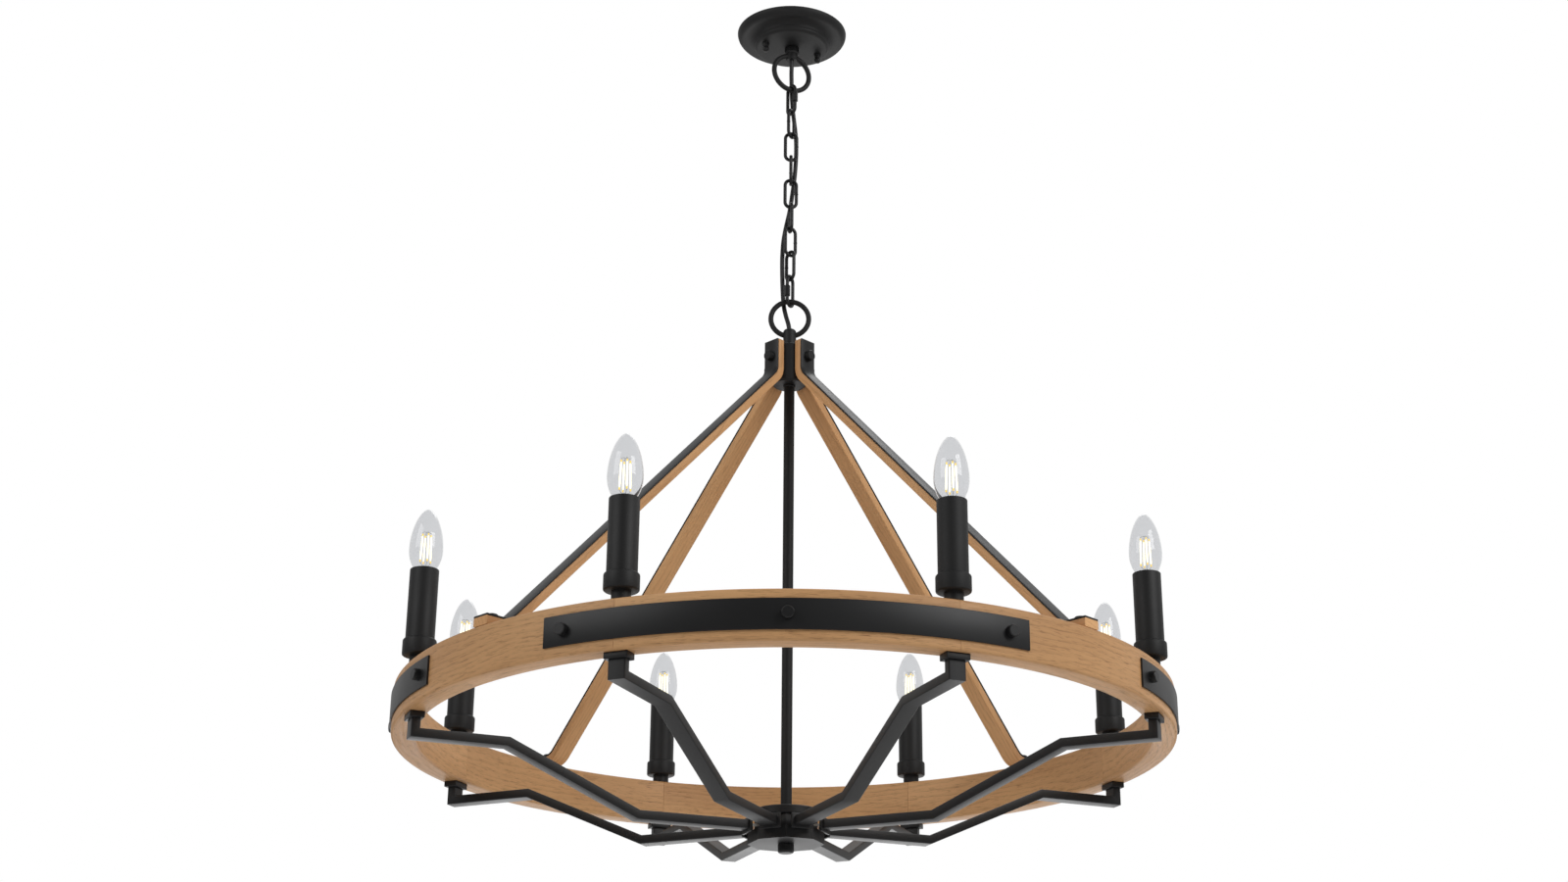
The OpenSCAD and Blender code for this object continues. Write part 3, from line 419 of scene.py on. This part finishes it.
def clear_glass(name, tint):
    """Thin blown glass: it hardly bends what is behind it and holds back a little light. Only
    its outermost face is glossy, as gloss seen through another wall would render as specks."""
    material, tree, shader = new_finish(name, Roughness=0.0, IOR=1.01, Transmission_Weight=1.0,
                                        Coat_Roughness=0.03, Coat_IOR=1.46)
    path = add(tree, "LightPath")
    outer = math(tree, "SUBTRACT", 1.0, path.outputs["Is Transmission Ray"])
    tree.links.new(math(tree, "MULTIPLY", outer, 0.8), shader.inputs["Coat Weight"])
    cloud = stretched_noise(tree, object_place(tree), (40, 40, 20), 1.0, 1.0)
    shade = add(tree, "ValToRGB", {"Fac": cloud})
    shade.color_ramp.elements[0].color = (*tint, 1)
    shade.color_ramp.elements[1].color = (*[min(1.0, v * 1.03) for v in tint], 1)
    tree.links.new(shade.outputs[0], shader.inputs["Base Color"])
    return material


def glowing(name, colour, strength, spread):
    """A lit coating whose colour wanders a little along each rod. It glows for the eye and
    through glass, and throws no light on its neighbours, where it would only make sparkles."""
    material, tree, shader = new_finish(name, Base_Color=(*colour, 1), Roughness=0.6)
    path = add(tree, "LightPath")
    seen = math(tree, "MAXIMUM", path.outputs["Is Camera Ray"],
                path.outputs["Is Transmission Ray"])
    tree.links.new(math(tree, "MULTIPLY", seen, strength), shader.inputs["Emission Strength"])
    patch = stretched_noise(tree, object_place(tree), (300, 300, 180), 1.0, 2.0)
    glow = add(tree, "ValToRGB", {"Fac": patch})
    glow.color_ramp.elements[0].color = (*colour, 1)
    glow.color_ramp.elements[1].color = (*spread, 1)
    tree.links.new(glow.outputs[0], shader.inputs["Emission Color"])
    return material


COAT = powder_coat("powder_coat", (0.011, 0.011, 0.0115), 0.42)
TURNED_COAT = powder_coat("turned_coat", (0.0095, 0.0095, 0.0098), 0.56)
LINK_COAT = powder_coat("link_coat", (0.010, 0.010, 0.0105), 0.36)
WOOD = ash_wood("ash_wood")
# painted light: the struts' end faces get a paler copy of the ash, standing in for the light that
# falls on them
WOOD_END_PAINTED_LIGHT = ash_wood("ash_end_painted_light", 1.25, 0.0)
# painted light: the struts get a paler copy of the ash, standing in for the light from below on
# their undersides
STRUT_WOOD_PAINTED_LIGHT = ash_wood("ash_strut_painted_light", 1.1, 0.2)
SHEATH = cord_sheath()
ZINC = zinc_plate()
PLASTIC = moulded_plastic()
GLASS = clear_glass("bulb_glass", (0.785, 0.79, 0.80))
STEM_GLASS = clear_glass("stem_glass", (0.9, 0.92, 0.94))
LIT = glowing("lit_phosphor", (1.0, 0.88, 0.56), 1.9, (1.0, 0.93, 0.66))
ROD_END = glowing("rod_end", (1.0, 0.62, 0.08), 1.0, (1.0, 0.72, 0.16))
WIRE = powder_coat("support_wire", (0.42, 0.4, 0.36), 0.3)

SLOT_FINISH = {
    "black_metal": COAT, "wood": WOOD, "zinc_steel": ZINC, "white_plastic": PLASTIC,
    "black_cord": SHEATH, "bulb_glass": GLASS, "bulb_cap": ZINC, "filament": LIT,
}
TURNED_NODES = ("upper_loop", "lower_loop", "head_block", "candle_stems")


def finish_cad():
    """Every CAD piece gets the finish of its slot, or a coat of its own for links and turnings."""
    for part in frame["record"]["subparts"]:
        mesh = frame["nodes"][part["node"]].data
        finish = SLOT_FINISH[part["material_slot"]]
        if "link" in part["node"]:
            finish = LINK_COAT
        elif part["node"] in TURNED_NODES:
            finish = TURNED_COAT
        mesh.materials.clear()
        mesh.materials.append(finish)


finish_cad()

# ---------- cord ----------

# the photograph's route in millimetres, from the nipple down to the hub
ROUTE = np.array([
    [0, 0, -9.5], [0, 0, -36.6], [0, 0.6, -44], [-0.2, 2.8, -53], [0, 5.6, -63], [0.3, 8, -74],
    [0.8, 9.1, -86], [1.8, 10.3, -99], [3.2, 11.3, -112], [4.7, 11.3, -125], [5.8, 10.3, -138],
    [6.2, 9, -151], [6.1, 8.4, -164], [5.5, 8.8, -177], [4.6, 9.8, -190], [3.2, 10.9, -203],
    [1.6, 11.6, -216], [0, 11.9, -229], [-2.2, 11.9, -242], [-4.6, 11, -254], [-6.6, 9, -266],
    [-8.2, 6.4, -279], [-9, 4.2, -292], [-9.4, 3, -305], [-9.3, 3, -318], [-9, 3.8, -331],
    [-8.5, 4.9, -344], [-7.8, 6, -356], [-6.5, 6, -367], [-4.2, 4.4, -378], [-1.5, 1.6, -389],
    [0, 0, -400], [0, 0, -975],
]) / 1000
HINGES = np.array([-0.0774, -0.1101, -0.1418, -0.1735, -0.2052, -0.2369, -0.2686, -0.3003,
                   -0.3320, -0.3657])
TERMINALS, NECK, DOME, SPLICE = -0.0095, -0.0366, -0.400, -0.975


def flowing(points, steps=6):
    """A smooth line through the points: on each run a cubic whose end slopes are half the
    difference of the two neighbours (Catmull-Rom)."""
    p = np.vstack([2 * points[0] - points[1], points, 2 * points[-1] - points[-2]])
    a, b, c, d = p[:-3, None], p[1:-2, None], p[2:-1, None], p[3:, None]
    t = np.linspace(0, 1, steps, endpoint=False)[None, :, None]
    run = b + 0.5 * t * (c - a + t * (2 * a - 5 * b + 4 * c - d + t * (3 * (b - c) + d - a)))
    return np.vstack([run.reshape(-1, 3), points[-1:]])


def with_heights(line, heights):
    """The falling line with points added at the given heights, in falling order."""
    z = np.sort(np.union1d(line[:, 2], heights))[::-1]
    x, y = (np.interp(-z, -line[:, 2], line[:, k]) for k in (0, 1))
    return np.stack([x, y, z], 1)


def hang_cord():
    """The cord in stretches, each bending over one hinge of the chain, from mid-link to
    mid-link. Its ends at the necks stay straight."""
    cuts = np.concatenate([[NECK], (HINGES[:-1] + HINGES[1:]) / 2, [DOME]])
    line = with_heights(flowing(ROUTE[1:-1]), cuts)
    grid = tube(line, CORD_D / 2, 20)
    for k, (high, low) in enumerate(zip(cuts[:-1], cuts[1:])):
        rows = (line[:, 2] <= high + 1e-6) & (line[:, 2] >= low - 1e-6)
        piece = skin(f"cord_{k + 1:02d}", [grid[rows]], SHEATH, None, None, sharp=60)
        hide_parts("cord")
        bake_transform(piece)
    for name, body, high, low in (("cord_in_nipple", "ceiling_plate", TERMINALS, NECK),
                                  ("cord_in_column", "fixture", DOME, SPLICE)):
        straight = np.linspace((0, 0, high), (0, 0, low), 3)
        skin(name, [tube(straight, CORD_D / 2, 20)], SHEATH, body, "cord", sharp=60)


hang_cord()

# ---------- wood ----------


def ring_segments():
    """Eight sawn segments butted under the candles. The section is carried round the axis, and
    the grain place is length along the arc, a little bowed towards the chord, out, and up. Each
    segment is cut from another stretch of board and lies at its own tilt in the log."""
    half_turn, bowed, board_l = 22.48, 0.12, 0.9
    section = soft_rectangle(RING_WIDTH, RING_TOP - RING_BOTTOM, RING_EASE, 5)
    grids, grains = [], []
    for k in range(8):
        a = np.radians(np.linspace(-half_turn, half_turn, 33))
        reach, height = CANDLE_R + section[:, 0], (RING_TOP + RING_BOTTOM) / 2 + section[:, 1]
        local = np.stack([reach * np.cos(a)[:, None], reach * np.sin(a)[:, None],
                          np.broadcast_to(height, (len(a), len(height)))], -1)
        tilt = chance.uniform(-0.6, 0.6)
        bow = bowed * CANDLE_R * (1 - np.cos(a))[:, None]
        y, z = section[:, 0] - bow, section[:, 1]
        along = np.broadcast_to(CANDLE_R * a[:, None], y.shape)
        shift = chance.uniform(-0.03, 0.03, 3) + [board_l * k, 0, 0]
        grain = np.stack([along, y * np.cos(tilt) - z * np.sin(tilt),
                          y * np.sin(tilt) + z * np.cos(tilt)], -1) + shift
        grids.append(upright(local, 45 * k)[:, ::-1])
        grains.append(grain[:, ::-1])
    skin("wooden_ring", grids, WOOD, "fixture", "wood_ring", grains, 40)


def struts_and_straps():
    """Each strut is a bent board under its strap, which follows the same line."""
    for k, turn in enumerate(STRUT_TURNS, 1):
        board = finely(bent_line(STRAP_LINE, STRAP_T + STRUT_T / 2, BEND_R), 0.02)
        section = soft_rectangle(STRUT_T, STRUT_W, 0.0011, 3)
        shift = np.array([0.7 * k + 9, 0.012 * (k % 3 - 1), 0.02 * (k % 2) - 0.01])
        # the struts' ash and their end faces are paler copies of the ash that paint in light
        skin(f"wooden_strut_{k}", [bar(board, section, turn)], STRUT_WOOD_PAINTED_LIGHT, "fixture",
             f"strut_{k}", [bar_grain(board, section, shift, 0.5 * k)], cut=WOOD_END_PAINTED_LIGHT)
        strip = bent_line(STRAP_LINE, STRAP_T / 2, BEND_R)
        skin(f"steel_strap_{k}", [bar(strip, soft_rectangle(STRAP_T, STRUT_W, 0.0004, 2), turn)],
             COAT, "fixture", f"strap_{k}")


ring_segments()
struts_and_straps()

# ---------- metalwork ----------


def arms():
    """Cranked tubes with a cap under the ring and a flange at the hub."""
    section = soft_rectangle(ARM_T, ARM_W, 0.0011, 4)
    for k, turn in enumerate(CANDLE_TURNS, 1):
        cap = soft_box(ARM_CAP, (CANDLE_R, 0, RING_BOTTOM - ARM_CAP[2] / 2), turn, 0.0008)
        flange = soft_box(FLANGE, (FLANGE_R + FLANGE[0] / 2, 0, ARM_LOWER_Z), turn, 0.0006)
        skin(f"cranked_arm_{k}", [bar(ARM_LINE, section, turn), cap, flange], COAT, "fixture",
             f"arm_{k}")


def rim_plates():
    """Curved plates with eased edges, seated on the ring's outer face."""
    section = soft_rectangle(PLATE_T, PLATE_H, 0.0005, 3)
    reach = RING_OUTER + SEAT_GAP + PLATE_T / 2 + section[:, 0]
    height = (RING_TOP + RING_BOTTOM) / 2 + section[:, 1]
    a = np.radians(np.linspace(-PLATE_SPAN / 2, PLATE_SPAN / 2, 61))
    local = np.stack([reach * np.cos(a)[:, None], reach * np.sin(a)[:, None],
                      np.broadcast_to(height, (len(a), len(height)))], -1)
    for k in range(4):
        skin(f"curved_plate_{k + 1}", [upright(local, 90 * k)[:, ::-1]], COAT, "fixture",
             f"rim_plate_{k + 1}")


def candle_metal():
    """Turned cups and sleeves, each a hollow profile of (radius, height) pairs that runs
    up the outside and down the bore."""
    cup = RING_TOP + STEM_H
    floor, rim, lip = cup + CUP_FLOOR_T, cup + CUP_H, RING_TOP + SLEEVE_TOP
    pan = [(PIPE_R + SEAT_GAP, cup), (CUP_R - 0.002, cup), (CUP_R - 0.0011, cup + 0.0003),
           (CUP_R - 0.0003, cup + 0.001), (CUP_R, cup + 0.002), (CUP_R, rim - 0.0021),
           (CUP_R - 0.0003, rim - 0.0011), (CUP_R - 0.0009, rim - 0.0004),
           (CUP_R - 0.0016, rim), (SLEEVE_R + SEAT_GAP, rim), (SLEEVE_R + SEAT_GAP, floor),
           (PIPE_R + SEAT_GAP, floor)]
    tube_wall = [(SLEEVE_R - SLEEVE_WALL, floor), (SLEEVE_R, floor), (SLEEVE_R, lip - 0.0006),
                 (SLEEVE_R - 0.0002, lip - 0.0002), (SLEEVE_R - 0.0006, lip),
                 (SLEEVE_R - SLEEVE_WALL, lip)]
    spots = [upright(np.array([CANDLE_R, 0, 0]), turn) for turn in CANDLE_TURNS]
    for name, node, profile in (("turned_cups", "candle_cups", pan),
                                ("candle_tubes", "candle_sleeves", tube_wall)):
        skin(name, [lathe(profile, spot, 72) for spot in spots], TURNED_COAT, "fixture", node,
             hollow=True)


def centre_column():
    """The hollow rod between hub and crown, with its thinner ends."""
    profile = [(ROD_BORE, ROD_FOOT), (PIPE_R, ROD_FOOT), (PIPE_R, ROD_STEP), (ROD_R, ROD_STEP),
               (ROD_R, ROD_HIGH_STEP), (PIPE_R, ROD_HIGH_STEP), (PIPE_R, ROD_TOP),
               (ROD_BORE, ROD_TOP)]
    skin("turned_rod", [lathe(profile, sides=72)], TURNED_COAT, "fixture", "centre_rod",
         hollow=True)


def canopy_dish():
    """The pressed dish: a rim bead, a concave flank, a raised step and a flat face, each a
    quarter turn between two radii and two depths, with the same line inside at the wall."""
    def line(wall):
        """The dish's line at a depth of wall behind its seen face."""
        rim, step, face = CANOPY_R - wall, CANOPY_STEP_R - wall, CANOPY_FACE_R - wall
        deep = wall - CANOPY_DEPTH
        ledge, valley = deep * 0.82, deep * 0.68
        a, b, c = (np.radians(np.linspace(0, 90, n)) for n in (13, 13, 7))
        return np.vstack([
            np.column_stack([rim - CANOPY_BEAD * (1 - np.cos(a)), valley * 0.62 * np.sin(a)]),
            np.column_stack([rim - CANOPY_BEAD + (step + 0.0095 - rim) * np.sin(b),
                             valley * (0.62 + 0.38 * (1 - np.cos(b)))]),
            np.column_stack([step + 0.0015 * (1 - np.sin(c)),
                             ledge + (valley - ledge) * (1 - np.sin(c)) / 2]),
            np.column_stack([face + (step - face) * np.cos(a), ledge + (deep - ledge) * np.sin(a)]),
        ])
    bore = [[PIPE_R + SEAT_GAP, CANOPY_WALL - CANOPY_DEPTH], [PIPE_R + SEAT_GAP, -CANOPY_DEPTH]]
    profile = np.vstack([line(CANOPY_WALL), bore, line(0.0)[::-1]])
    skin("canopy_dish", [lathe(profile, sides=128)], TURNED_COAT, "ceiling_plate", "canopy",
         sharp=40, hollow=True)


arms()
rim_plates()
candle_metal()
centre_column()
canopy_dish()

# ---------- lamps ----------


def glass_radius(share):
    """Radius of the bulb at a share of its height: a neck that swells to the belly by a power
    of the share still to go, then closes to a rounded tip."""
    to_go = np.maximum(1 - share / BELLY_SHARE, 0)
    swell = BULB_NECK_R + (BULB_R - BULB_NECK_R) * (1 - to_go ** 2.1)
    past = np.clip((share - BELLY_SHARE) / (1 - BELLY_SHARE), 0, 1)
    return np.where(share < BELLY_SHARE, swell, BULB_R * (1 - past ** 1.8) ** 0.57)


def bulb_glasses():
    """Each glass is one skin: down the inside from the tip, across the foot and up the outside."""
    thinnest = 1e-5
    share = 1 - (1 - np.linspace(0, 1, 49)) ** 1.7
    outer = np.stack([np.maximum(glass_radius(share), thinnest), CAP_TOP + BULB_H * share], 1)
    inner = np.stack([np.maximum(outer[:, 0] - BULB_WALL, thinnest),
                      CAP_TOP + (BULB_H - BULB_WALL) * share], 1)
    inner[0, 1] = outer[0, 1]
    profile = np.vstack([inner[::-1], outer])
    grids = [lathe(profile, upright(np.array([CANDLE_R, 0, 0]), turn), 64)
             for turn in CANDLE_TURNS]
    skin("candle_bulb_glasses", grids, GLASS, "fixture", "bulb_glasses", sharp=70)


def between(foot, top, start, stop, count):
    """count points from one share to another of the way from foot to top."""
    return foot + (top - foot) * np.linspace(start, stop, count)[:, None]


def filaments():
    """Four lit rods that lean together round a glass stem, with their ends and fine wires. Each
    bulb is turned so that its rods stand apart when seen from the camera's side."""
    rod_l, rod_r, lean, low = 0.030, 0.0056, np.radians(2), CAP_TOP + 0.0125
    lit_r, end_r, wire_r, first_turn, camera_reach = 0.00095, 0.0007, 0.00018, 18, 2
    share = np.linspace(0, 1, 12)
    lit_radius = lit_r * np.minimum(1, 0.55 + 4 * np.minimum(share, 1 - share))
    high, high_r = low + rod_l * np.cos(lean), rod_r - rod_l * np.sin(lean)
    rods, ends, wires, stems = [], [], [], []
    for turn in CANDLE_TURNS:
        hub = upright(np.array([CANDLE_R, 0, 0]), turn)
        stem = [[0.0005, CAP_TOP - 0.001], [0.0055, CAP_TOP], [0.0050, CAP_TOP + 0.002],
                [0.0030, CAP_TOP + 0.005], [0.0018, CAP_TOP + 0.009], [0.0008, high - 0.004],
                [0.0007, high + 0.001], [0.0012, high + 0.003], [0.0002, high + 0.0045]]
        stems.append(lathe(stem, hub, 24))
        for q in range(4):
            spin = np.radians(first_turn + 90 * q) - hub[0] / camera_reach
            out = np.array([np.cos(spin), np.sin(spin), 0])
            foot, top = hub + out * rod_r + [0, 0, low], hub + out * high_r + [0, 0, high]
            rods.append(tube(between(foot, top, 0.06, 0.94, 12), lit_radius, 12))
            for start, stop in ((-0.01, 0.065), (0.935, 1.01)):
                ends.append(tube(between(foot, top, start, stop, 3), end_r, 10))
            lower = np.array([hub + out * 0.0012 + [0, 0, CAP_TOP + 0.0075],
                              hub + out * rod_r * 0.7 + [0, 0, low - 0.003], foot])
            upper = np.array([top, hub + out * high_r * 0.9 + [0, 0, high + 0.0022],
                              hub + out * 0.0006 + [0, 0, high + 0.0028]])
            wires += [tube(flowing(run, 5), wire_r, 6) for run in (lower, upper)]
    skin("lit_rods", rods, LIT, "fixture", "bulb_filaments", sharp=50)
    skin("rod_ends", ends, ROD_END, "fixture", "bulb_filaments", sharp=50)
    skin("support_wires", wires, WIRE, "fixture", "bulb_filaments", sharp=50)
    skin("glass_stems", stems, STEM_GLASS, "fixture", "bulb_filaments", sharp=50)


bulb_glasses()
filaments()

# ---------- stage and light ----------


def stage_and_light():
    """A pale floor well below the wheel, soft lamps, and a world that looks white."""
    scene = bpy.context.scene
    scene.view_settings.view_transform = "Standard"
    floor_mesh = bpy.data.meshes.new("floor")
    corners = [(x * FLOOR_REACH, y * FLOOR_REACH, FLOOR_Z)
               for x, y in ((-1, -1), (1, -1), (1, 1), (-1, 1))]
    floor_mesh.from_pydata(corners, [], [(0, 1, 2, 3)])
    floor_mesh.materials.append(new_finish("floor", Base_Color=(0.8, 0.8, 0.8, 1),
                                           Roughness=0.9)[0])
    floor = bpy.data.objects.new("floor", floor_mesh)
    scene.collection.objects.link(floor)
    world = bpy.data.worlds.new("world")
    scene.world = world
    world.use_nodes = True
    tree = world.node_tree
    shown = tree.nodes["Background"]
    shown.inputs["Color"].default_value = (1, 1, 1, 1)
    # pale walls behind and to the right of the fixture, and a dim room on the camera's side
    direction = add(tree, "SeparateXYZ", {0: add(tree, "TexCoord").outputs["Generated"]}).outputs
    behind = ranged(tree, direction[1], -0.35, 0.5, 0.10, 0.95)
    sideways = ranged(tree, direction[0], -0.8, 0.8, 0.0, 0.25)
    room = math(tree, "ADD", behind, sideways)
    path = add(tree, "LightPath").outputs
    seen = math(tree, "MAXIMUM", path["Is Camera Ray"], path["Is Transmission Ray"])
    lighting = math(tree, "MULTIPLY", room, 0.6)
    tree.links.new(math(tree, "MAXIMUM", seen, lighting), shown.inputs["Strength"])
    for name, place, size, power in (
        ("key", (1.75, -1.6, 0.5), 1.2, 26), ("fill", (-1.65, -1.3, 0.3), 1.2, 13.5),
        ("back", (0.4, 1.3, 1.4), 1.2, 9), ("low", (0.0, 2.2, -1.6), 2.0, 20),
    ):
        lamp = bpy.data.lights.new(name, "AREA")
        lamp.size, lamp.energy = size, power
        holder = bpy.data.objects.new(name, lamp)
        holder.visible_transmission = False  # no lamp shows as a white patch in the bulbs
        scene.collection.objects.link(holder)
        aim = np.array([0, 0, -0.75]) - np.array(place)
        back = -aim / np.linalg.norm(aim)
        side = np.cross([0.0, 1.0, 0.0] if abs(back[2]) > 0.95 else [0.0, 0.0, 1.0], back)
        side /= np.linalg.norm(side)
        turned = Matrix(np.stack([side, np.cross(back, side), back], 1).tolist()).to_4x4()
        holder.matrix_world = Matrix.Translation(place) @ turned


stage_and_light()
